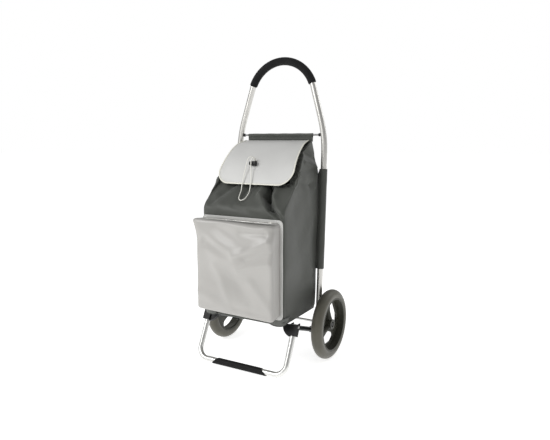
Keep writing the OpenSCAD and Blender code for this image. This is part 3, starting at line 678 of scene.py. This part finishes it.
bag_upper = bag_piece("bag_upper", upper, bag_cloth)
bag_lower = crumple(bag_piece("bag_lower", lower, bag_cloth))
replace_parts(bag_upper, "bag_body")
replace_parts(bag_lower, "bag_body")

tunnel_line = 0.5 * (upper[-1] + upper[-2])
tunnel_line = np.vstack([tunnel_line, tunnel_line[:1]])
tunnel_r = 5.5 + 0.5 * np.cos(np.arange(cols + 1) / cols * 2 * math.pi * GATHERS)
verts, faces = tube(tunnel_line, tunnel_r, sides=10, flat=0.34, up=(0, 0, 1), ends=False)
tunnel = piece("mouth_tunnel", to_model(verts), faces, hem_cloth)
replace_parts(tunnel, "mouth_hem")
print("bag:", len(bag_upper.data.vertices), "+", len(bag_lower.data.vertices), "points")

# %% [markdown]
# ## Board and folded corners
# The stiffening board in the bottom is a piece with a rounded edge.
# The cloth left over at the lower front corners is folded flat and sewn, like a leaf.

# %% Board and folded corners
def rounded_slab(name, low, high, radius, material, step=12.0):
    """A box grid whose points are pulled in to a radius on every edge."""
    low, high = np.array(low, float), np.array(high, float)
    verts, faces = box_grid(low, high, step)
    core_low, core_high = low + radius, high - radius
    core = np.clip(verts, core_low, core_high)
    way = verts - core
    length = np.maximum(np.linalg.norm(way, axis=1), 1e-9)[:, None]
    verts = core + way / length * radius
    return piece(name, to_model(verts), faces, material)


def box_grid(low, high, step, skip=()):
    """Points and faces of a box's surface, each side cut into squares. skip leaves sides out."""
    verts, faces, index = [], [], {}

    def add(p):
        key = tuple(np.round(p, 4))
        if key not in index:
            index[key] = len(verts)
            verts.append(p)
        return index[key]

    for axis in range(3):
        u, v = [k for k in range(3) if k != axis]
        nu = max(2, int(round((high[u] - low[u]) / step)))
        nv = max(2, int(round((high[v] - low[v]) / step)))
        for side in (0, 1):
            if (axis, side) in skip:
                continue
            for i in range(nu):
                for j in range(nv):
                    quad = []
                    for di, dj in ((0, 0), (1, 0), (1, 1), (0, 1)):
                        p = np.zeros(3)
                        p[axis] = (low, high)[side][axis]
                        p[u] = low[u] + (high[u] - low[u]) * (i + di) / nu
                        p[v] = low[v] + (high[v] - low[v]) * (j + dj) / nv
                        quad.append(add(p))
                    flip = (side == 1) == (axis == 1)
                    faces.append(tuple(quad[::-1] if flip else quad))
    return np.array(verts), faces


bottom_board = crumple(rounded_slab("bottom_board", (-143, -210, 164.4), (143, -8, 168.2), 1.6, board))
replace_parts(bottom_board, "base_board")


def round_corner(t, z, lift, side):
    """Runs along the front panel to the corner and on along the side panel, at a small height over both."""
    r = FRONT_CORNER_R
    start = BAG_HALF - r
    a = np.clip((t - start) / (r * math.pi / 2), 0, 1) * math.pi / 2
    past = np.clip(t - start - r * math.pi / 2, 0, None)
    x = np.where(t < start, t, start + (r + lift) * np.sin(a))
    y = np.where(t < start, FRONT_Y - lift, FRONT_Y + r - (r + lift) * np.cos(a)) + past
    return np.stack([side * x, y, z], -1)


def corner_leaf(name, side):
    """A flat leaf of doubled cloth with a bound edge, wrapped round the lower front corner."""
    corners = [(100, 166), (112, 175), (132, 184), (152, 187), (168, 186), (184, 183),
               (170, 173), (152, 165), (132, 161), (114, 161.5), (100, 166)]
    outline = smooth_line(corners, 4)
    centre = outline.mean(0)
    rows = []
    for f, lift in ((0.02, 3.2), (0.5, 3.0), (0.86, 2.6), (1.0, 1.8), (1.0, 0.6)):
        ring = centre + (outline - centre) * f
        rows.append(round_corner(ring[:, 0], ring[:, 1], lift, side))
    faces = grid_faces(len(rows), len(outline))
    if side > 0:
        faces = [f[::-1] for f in faces]
    leaf = crumple(piece(name, to_model(np.vstack(rows)), faces, leaf_cloth))
    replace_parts(leaf, "corner_tabs")
    verts, faces = tube(round_corner(outline[:, 0], outline[:, 1], 2.2, side), 1.2, sides=8, ends=False)
    crumple(piece(name + "_edge", to_model(verts), faces, thread_dark))
    return leaf


corner_leaf("corner_leaf_right", 1)
corner_leaf("corner_leaf_left", -1)
print("board and corners ready")

# %% [markdown]
# ## The front pocket
# A soft box with rounded edges. Its front sags from the upper left corner to the right, with long
# slanting folds, and its flange and piping lie flat on the bag.

# %% Pocket shell
P_LOW, P_HIGH = np.array([-140.0, -270.0, 190.0]), np.array([140.0, -216.5, 488.0])
verts, faces = box_grid(P_LOW, P_HIGH, 5.0, skip=((1, 1),))
radius = np.array([15.0, 13.0, 9.0])
core = np.clip(verts, P_LOW + radius, np.array([P_HIGH[0] - radius[0], 0, P_HIGH[2] - radius[2]]))
way = (verts - core) / radius
length = np.linalg.norm(way, axis=1)
outside = length > 1e-6
way[outside] /= length[outside][:, None]
soft = verts.copy()
soft[outside] = (core + way * radius)[outside]
corner_zone = (np.abs(way) > 1e-6).sum(1) > 1
soft = np.where(corner_zone[:, None], soft, verts)
u = soft[:, 0] / P_HIGH[0]
v = (soft[:, 2] - P_LOW[2]) / (P_HIGH[2] - P_LOW[2])
forward = np.clip((P_HIGH[1] - soft[:, 1]) / (P_HIGH[1] - P_LOW[1]), 0, 1)
front = np.zeros((len(soft), 3))
front[:, 1] = -1.0
pocket_creases = [
    ("front", (-118, 452), (-10, 372), 4, 26, 6, 34),
    ("front", (-100, 420), (20, 364), -9, 14, -6, 18),
    ("front", (-60, 470), (30, 412), -4, 18, -5, 26),
    ("front", (4, 378), (122, 436), 8, 13, 5, 10),
    ("front", (30, 462), (112, 462), -4, 14, -7, 9),
    ("front", (40, 372), (136, 404), -8, 11, -4, 8),
    ("front", (14, 338), (130, 368), 7, 12, 4, 10),
    ("front", (-110, 410), (-80, 300), -5, 24, -3, 32),
    ("front", (-20, 330), (60, 230), -6, 24, -4, 22),
    ("front", (-70, 340), (-20, 236), 5, 16, 3, 14),
    ("front", (-130, 250), (-40, 214), 4, 14, 3, 18),
    ("front", (60, 300), (124, 232), 4, 16, 3, 14),
    ("front", (0, 214), (120, 206), -3, 9, -2, 9),
]
swell = 5.0 * (1 - np.clip(np.abs(u), 0, 1) ** 3) * np.sin(np.pi * np.clip(v, 0, 1) ** 0.9)
soft2 = soft + (push(soft, soft, front, pocket_creases) - soft) * (forward ** 2)[:, None]
soft2[:, 1] -= (swell - 4.0) * forward ** 2
soft2[:, 1] -= 9.0 * forward ** 2 * np.exp(-((soft[:, 2] - 396 - 0.12 * soft[:, 0]) / 46) ** 2) * (1 - u ** 4)
soft2[:, 1] += 7.0 * forward ** 2 * np.exp(-((soft[:, 2] - 315) / 52) ** 2) * (1 - u ** 4)
small_waves = np.sin(soft[:, 0] / 17 + soft[:, 2] / 29) * np.sin(soft[:, 2] / 19 - soft[:, 0] / 31)
soft2[:, 1] -= 0.5 * forward * small_waves
# the upper front edge droops to the right, and the upper left corner sticks out
edge = np.clip((soft[:, 2] - 405) / 83, 0, 1)
droop = 11.0 * np.exp(-((soft[:, 0] - 70) / 70) ** 2)
soft2[:, 2] -= droop * edge ** 2 * forward
soft2[:, 0] -= 12.0 * np.clip(-u, 0, 1) ** 2 * forward
soft2[:, 2] -= 7.0 * forward * np.clip((250 - soft[:, 2]) / 60, 0, 1) ** 2 * np.clip(0.55 + 0.45 * u, 0, 1)
ear = np.exp(-((soft[:, 0] + 140) / 26) ** 2) * np.exp(-((soft[:, 2] - 488) / 30) ** 2) * forward
soft2 += ear[:, None] * np.array([-13.0, -4.0, 3.0])
tuck = np.exp(-((soft[:, 0] - 140) / 22) ** 2) * np.exp(-((soft[:, 2] - 478) / 24) ** 2) * forward
soft2 += tuck[:, None] * np.array([-7.0, 9.0, -4.0])
# sides pull in a little between the flange and the front edge
side_in = np.where(np.abs(soft[:, 0]) > 126, 4 * forward * (1 - forward), 0)
soft2[:, 0] -= np.sign(soft[:, 0]) * side_in * 4.0 * np.clip(v * (1 - v) * 6, 0, 1)
top = (v > 0.985) & (forward < 0.9)
soft2[:, 2] += np.where(top, 1.2 * np.sin(soft[:, 0] / 34), 0)
pocket = piece("front_pocket", to_model(soft2), faces, silver)
thicken(pocket, 0.0010)
crumple(pocket)
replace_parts(pocket, "pocket_body")
print("pocket:", len(pocket.data.vertices), "points")

# %% [markdown]
# The flange is a flat band with a rolled edge, sewn to the bag with one row of thread.

# %% Pocket flange, zip and seams
def rounded_rect(low_x, low_z, high_x, high_z, r, step=6.0):
    pts = []
    for cx, cz, a0 in ((high_x - r, high_z - r, 0), (low_x + r, high_z - r, 90), (low_x + r, low_z + r, 180),
                       (high_x - r, low_z + r, 270)):
        for k in range(7):
            a = math.radians(a0 + 15 * k)
            pts.append((cx + r * math.cos(a), cz + r * math.sin(a)))
    pts.append(pts[0])
    out = []
    for (x0, z0), (x1, z1) in zip(pts, pts[1:]):
        n = max(1, int(math.hypot(x1 - x0, z1 - z0) / step))
        out += [(x0 + (x1 - x0) * k / n, z0 + (z1 - z0) * k / n) for k in range(n)]
    out.append(out[0])
    return np.array(out)


def on_front(line, y):
    wave = 0.5 * np.sin(line[:, 0] / 19) * np.sin(line[:, 1] / 23)
    return np.stack([line[:, 0], np.full(len(line), y) + wave, line[:, 1]], 1)


inner = on_front(rounded_rect(-139, 191, 139, 487, 10), -218.4)
outer = on_front(rounded_rect(-151.5, 183.2, 147.2, 495.4, 12), -218.4)


def resample(line, count):
    step = np.linalg.norm(np.diff(line, axis=0), axis=1)
    s = np.concatenate([[0], np.cumsum(step)]) / step.sum()
    t = np.linspace(0, 1, count)
    return np.stack([np.interp(t, s, line[:, k]) for k in range(3)], 1)


inner, outer = resample(inner, 240), resample(outer, 240)
band = []
for f, lift in ((0.0, 0.4), (0.25, 1.0), (0.6, 0.6), (0.85, 0.9)):
    ring = inner * (1 - f) + outer * f
    ring[:, 1] -= lift
    band.append(ring[:-1])
faces = grid_faces(4, 239, close_cols=True)
flange = crumple(thicken(piece("pocket_flange", to_model(np.vstack(band)), faces, silver_edge), 0.0009, 0))
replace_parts(flange, "pocket_piping")
roll = outer.copy()
roll[:, 1] -= 0.6
verts, faces = tube(roll, 1.7, sides=10, up=(0, 1, 0), ends=False)
crumple(piece("pocket_piping_roll", to_model(verts), faces, silver_edge))
seam = 0.5 * (inner + outer)
seam[:, 1] -= 1.5
crumple(stitches("pocket_stitches", seam, (0, -1, 0), "frame", thread_pale))

verts, faces = box_grid(np.array([-125, -251.7, 488.2]), np.array([125, -239.7, 489.0]), 3.0)
verts[:, 2] += np.where(verts[:, 2] > 488.6, 0.15 * np.cos(verts[:, 0] * 2.1), 0)
tape = crumple(piece("zip_tape", to_model(verts), faces, thread_pale))
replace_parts(tape, "pocket_zip")
verts, faces = [], []
for k in range(124):
    x = -123 + 2.0 * k
    s = 0.55 if k % 2 else -0.55
    tooth = [(x - 0.7, -245.7 + s - 1.3, 488.9), (x + 0.7, -245.7 + s - 1.3, 488.9),
             (x + 0.7, -245.7 + s + 1.3, 488.9), (x - 0.7, -245.7 + s + 1.3, 488.9),
             (x - 0.4, -245.7 + s - 1.0, 490.0), (x + 0.4, -245.7 + s - 1.0, 490.0),
             (x + 0.4, -245.7 + s + 1.0, 490.0), (x - 0.4, -245.7 + s + 1.0, 490.0)]
    b = len(verts)
    verts += tooth
    faces += [(b, b + 1, b + 5, b + 4), (b + 1, b + 2, b + 6, b + 5), (b + 2, b + 3, b + 7, b + 6),
              (b + 3, b, b + 4, b + 7), (b + 4, b + 5, b + 6, b + 7)]
crumple(piece("zip_teeth", to_model(verts), faces, nickel, smooth=False))
print("flange:", len(flange.data.vertices), "points, zip tape:", len(tape.data.vertices), "points")

# %% [markdown]
# ## The flap
# One sheet of cloth, curved over the mouth, with a bound edge of cream tape on three sides.

# %% Flap
HINGE_Y, HINGE_Z = 24.4, 743.0
SLOPE = math.radians(40.3)
CHORD, BOW = 229.0, 25.0
ARC_R = CHORD ** 2 / (8 * BOW) + BOW / 2
ARC_Y = HINGE_Y - CHORD / 2 * math.cos(SLOPE) - (BOW - ARC_R) * math.sin(SLOPE)
ARC_Z = HINGE_Z - CHORD / 2 * math.sin(SLOPE) + (BOW - ARC_R) * math.cos(SLOPE)


def on_flap(x, s, lift):
    """A point on the flap: s is the distance from the hinge in a straight line down the slope."""
    a = np.arcsin(np.clip((s - CHORD / 2) / ARC_R, -1, 1)) + SLOPE
    r = ARC_R + lift
    return np.stack([x, ARC_Y - r * np.sin(a), ARC_Z + r * np.cos(a)], -1)


CORNER = 50.0
STRAIGHT = CHORD - CORNER


def flap_half(s, side, inset=0.0):
    """Half width at a distance down the slope. The cloth sits a little to the left, as worn."""
    right = np.asarray(side) > 0
    top_half = np.where(right, 113.0, 140.0)
    low_half = np.where(right, 138.0, 150.0)
    edge = top_half + (low_half - top_half) * np.clip(s / STRAIGHT, 0, 1)
    r = CORNER - inset
    d = np.clip(s - STRAIGHT, 0, r)
    return np.where(s < STRAIGHT, edge - inset, low_half - CORNER + np.sqrt(np.maximum(r * r - d * d, 0)))


def flap_edge(inset, lift, start=0.5, count=40):
    """The flap's outline, set in by a margin, from its upper right corner round to its upper left one."""
    s = np.concatenate([np.linspace(start, STRAIGHT, count),
                        STRAIGHT + (CORNER - inset) * np.sin(np.linspace(0.05, math.pi / 2, 20))])
    mid_x = np.linspace(138.0 - CORNER, -150.0 + CORNER, 40)[1:-1]
    xs = np.concatenate([flap_half(s, 1, inset), mid_x, -flap_half(s, -1, inset)[::-1]])
    ss = np.concatenate([s, np.full(len(mid_x), CHORD - inset), s[::-1]])
    return on_flap(xs, ss, lift + flap_wave(xs, ss))


def flap_wave(x, s):
    calm = np.clip(1 - np.exp(-((x + 16) ** 2 + (s - 130) ** 2) / 900), 0, 1)
    wave = 0.9 * np.sin(x / 37 + 0.6) * np.sin(s / 31) + 0.5 * np.sin(x / 17 - s / 29)
    dip = -1.6 * np.exp(-((x - 70) / 40) ** 2 - ((s - 60) / 50) ** 2)
    sewn = -7.0 * np.exp(-(s / 34) ** 2)
    return (wave + dip) * calm * np.clip(s / 30, 0, 1) * np.clip((CHORD - s) / 20, 0.2, 1) + sewn


rows_s = np.concatenate([np.linspace(0.6, STRAIGHT, 44),
                         STRAIGHT + (CORNER - 1.4) * np.sin(np.linspace(0.06, math.pi / 2, 18))])
us = np.linspace(-1, 1, 71)
S, U = np.meshgrid(rows_s, us, indexing="ij")
X = U * (flap_half(S, U) - 1.6)
sheet = on_flap(X, S, 1.0 + flap_wave(X, S))
hole = (X + 16) ** 2 + (S - (CHORD / 2 + ARC_R * math.sin(math.radians(6.5)))) ** 2
faces = []
for i in range(len(rows_s) - 1):
    for j in range(len(us) - 1):
        if min(hole[i, j], hole[i + 1, j], hole[i, j + 1], hole[i + 1, j + 1]) > 3.2 ** 2:
            a = i * len(us) + j
            faces.append((a, a + len(us), a + len(us) + 1, a + 1))
flap = piece("top_flap", to_model(sheet.reshape(-1, 3)), faces, flap_cloth, "flap")
thicken(flap, 0.0012, 0)
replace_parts(flap, "flap_panel")

edge_line = resample(flap_edge(2.0, 1.3), 260)
edge_out = edge_line - np.array([0, ARC_Y, ARC_Z])
edge_out[:, 0] = 0
edge_out /= np.linalg.norm(edge_out, axis=1)[:, None]
verts, faces = tube(edge_line, 2.2, sides=12, flat=0.8, up=edge_out[130])
binding = piece("flap_binding", to_model(verts), faces, cream, "flap")
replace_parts(binding, "flap_piping")

line = resample(flap_edge(6.5, 1.75, start=5), 260)
out = line - np.array([0, ARC_Y, ARC_Z])
out[:, 0] = 0
stitches("flap_stitches", line, out, "flap", thread_cream, pitch=3.8, length=2.6, r=0.4)

# %% [markdown]
# ## Hem band and leg sleeves
# The band at the top of the back carries the rod. Each leg of the handle has a cloth sleeve with
# a narrow web sewn to the bag.

# %% Hem band
ROD_Y, ROD_Z = leg_y(756.0), 756.0
band_rows = []
xs = np.linspace(-131, 124, 90)
for x in xs:
    crease = 0.7 * math.sin(x / 6.3) * math.exp(-((x + 70) / 40) ** 2) + 0.6 * math.sin(x / 11)
    ring = []
    for a in np.linspace(-60, 240, 15):
        r = 5.3 + 0.25 * math.sin(x / 9)
        ring.append((x, ROD_Y + r * math.cos(math.radians(a)), ROD_Z + r * math.sin(math.radians(a))))
    ring += [(x, ROD_Y - 3.0 - 0.5 * crease, ROD_Z - 9), (x, ROD_Y - 2.4 - 0.8 * crease, ROD_Z - 15),
             (x, ROD_Y - 2.6 - 0.6 * crease, ROD_Z - 22.5), (x, ROD_Y + 0.4, ROD_Z - 23),
             (x, ROD_Y + 0.8, ROD_Z - 15), (x, ROD_Y + 1.4, ROD_Z - 9)]
    band_rows.append(ring)
ring_n = len(band_rows[0])
faces = grid_faces(len(xs), ring_n, close_cols=True)
hem = piece("hem_band", to_model(np.array(band_rows).reshape(-1, 3)), faces, hem_cloth)
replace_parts(hem, "rod_sleeve")
for k, dz in enumerate((-8.0, -20.5)):
    line = np.array([(x, ROD_Y - 3.6, ROD_Z + dz) for x in np.linspace(-129, 122, 60)])
    stitches("hem_stitches_%d" % k, line, (0, -1, 0), "frame", thread_dark)
print("hem band:", len(hem.data.vertices), "points")


# %% Leg sleeves
def leg_sleeve(name, side):
    rows = []
    for s in np.linspace(187, 525, 86):
        top = np.clip((s - 500) / 25, 0, 1)
        ring = []
        pucker = 0.45 * math.sin(s / 7.5) * math.exp(-((s - 510) / 60) ** 2) + 0.35 * math.sin(s / 19)
        for k in range(26):
            a = 2 * math.pi * k / 26
            x = LEG_X + (12.0 + pucker * math.cos(3 * a)) * math.cos(a)
            n = (12.0 + pucker * math.sin(2 * a + s / 31)) * math.sin(a)
            reach = max(0.0, -math.cos(a)) ** 6
            x -= reach * (9.5 - 7.5 * top)
            n *= 1 - 0.5 * reach
            z = AXLE_Z + s * LEAN_COS + n * LEAN_SIN
            y = s * LEAN_SIN - n * LEAN_COS
            ring.append((side * x, y, z))
        rows.append(ring)
    faces = grid_faces(len(rows), len(rows[0]), close_cols=True)
    if side < 0:
        faces = [f[::-1] for f in faces]
    obj = thicken(piece(name, to_model(np.array(rows).reshape(-1, 3)), faces, sleeve_cloth), 0.0009, -1)
    for edge_s, web in ((188.5, 9.0), (523.5, 1.6)):
        line = []
        for k in range(41):
            a = 2 * math.pi * k / 40
            n = 12.1 * math.sin(a)
            reach = max(0.0, -math.cos(a)) ** 6
            x = LEG_X + 12.1 * math.cos(a) - reach * web
            y = edge_s * LEAN_SIN - n * LEAN_COS
            z = AXLE_Z + edge_s * LEAN_COS + n * LEAN_SIN
            line.append((side * x, y, z))
        v, f = tube(line, 0.9, sides=8, ends=False)
        piece("%s_hem_%d" % (name, edge_s), to_model(v), f, thread_dark)
    return obj


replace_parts(leg_sleeve("leg_sleeve_right", 1), "tube_sleeve_right")
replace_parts(leg_sleeve("leg_sleeve_left", -1), "tube_sleeve_left")
print("leg sleeves: 2, each with a hem at both ends")

# %% [markdown]
# ## Spring in the cord lock
# A small coil pushes the button out.
# Known fault: the coil rides the frame and not the flap, so it stays behind when the flap opens.

# %% Lock spring
seat = bpy.data.objects["cord_lock_spring"]
corners = np.array([seat.matrix_world @ Vector(c) for c in seat.bound_box]) * 1000
low, high = corners.min(0), corners.max(0)
mid_y, mid_z = (low[1] + high[1]) / 2 - AXLE_Y, (low[2] + high[2]) / 2
coil = []
for k in range(181):
    a = 2 * math.pi * k / 36
    coil.append((low[0] + 0.3 + (high[0] - low[0] - 0.6) * k / 180,
                 mid_y + 3.0 * math.cos(a), mid_z + 3.0 * math.sin(a)))
verts, faces = tube(coil, 0.25, sides=8)
spring = piece("lock_spring_coil", to_model(verts), faces, nickel)
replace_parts(spring, "cord_lock_spring")
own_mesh(spring)
print("spring:", len(spring.data.vertices), "points")

# %% [markdown]
# ## Foam grip
# The foam swells out over the arch and rounds off at both ends.

# %% Foam grip
ARCH_R = 125
ARCH_S = (HANDLE_TOP - AXLE_Z) / LEAN_COS - ARCH_R - 13.5
angles = np.radians(np.linspace(21, 159, 121))
path, radii = [], []
for a in angles:
    s = ARCH_S + ARCH_R * math.sin(a)
    path.append((ARCH_R * math.cos(a), s * LEAN_SIN, AXLE_Z + s * LEAN_COS))
    d = min(a - angles[0], angles[-1] - a) * ARCH_R
    radii.append(10.2 + 3.25 * math.sqrt(max(0.0, 1 - max(0.0, 1 - d / 5.0) ** 2)))
verts, faces = tube(path, np.array(radii), sides=36, ends=False)
grip = piece("foam_grip", to_model(verts), faces, foam)
grip = thicken(grip, 0.0001, -1)
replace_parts(grip, "handle_grip")
print("grip:", len(grip.data.vertices), "points")

# %% [markdown]
# ## Ribs on the spokes
# Each wheel's three spokes get a raised rib that is high at the hub and runs out flat at the ring.

# %% Spoke ribs
WHEEL_X = 209.5


def spoke_ribs(name, side, body):
    verts, faces = [], []
    for turn_deg in (60, 180, 300):
        t = math.radians(turn_deg)
        start = len(verts)
        for i in range(22):
            k = i / 21
            r = 15 + 68 * k
            half = 9.0 + 5.0 * k * k + 16.0 * max(0.0, k - 0.72) ** 1.2
            high = 15.5 * (1 - k) ** 1.7 + 1.6
            for j in range(13):
                a = math.pi * j / 12
                out = -6.2 + high * math.sin(a) ** 0.8 if 0 < j < 12 else -6.4
                b = half * math.cos(a)
                down = r * math.cos(t) - b * math.sin(t)
                fore = r * math.sin(t) + b * math.cos(t)
                verts.append((side * (WHEEL_X + out), fore, AXLE_Z - down))
        rows = grid_faces(22, 13, start=start)
        faces += rows if side < 0 else [f[::-1] for f in rows]
    # the ribs take the rim's darker colour, which is painted shade of the dish
    return piece(name, to_model(verts), faces, rim, body)


spoke_ribs("spoke_ribs_right", 1, "wheel_right")
spoke_ribs("spoke_ribs_left", -1, "wheel_left")
print("ribs ready")

# %% [markdown]
# ## Seams on the bag
# A row of thread runs down each front corner of the bag.

# %% Bag seams
def skin_column(side, edge):
    """The column of bag points nearest a corner, found on a low ring."""
    ring = shape.reshape(ROWS, cols, 3)[20]
    return int(np.argmin(np.abs(ring[:, 0] - side * edge[0]) + np.abs(ring[:, 1] - edge[1])))


for side, label in ((1, "right"), (-1, "left")):
    k = skin_column(side, (150, -200))
    low = skin[4:SPLIT_ROW, k] + np.array([side * 0.1, 0, 0])
    high = skin[SPLIT_ROW:-4, k] + np.array([side * 0.1, 0, 0])
    crumple(stitches("bag_seam_low_" + label, low, (side, 0, 0), "frame", thread_dark, pitch=5, length=3.4))
    stitches("bag_seam_high_" + label, high, (side, 0, 0), "frame", thread_dark, pitch=5, length=3.4)
print("seams: a low and a high one on each side")
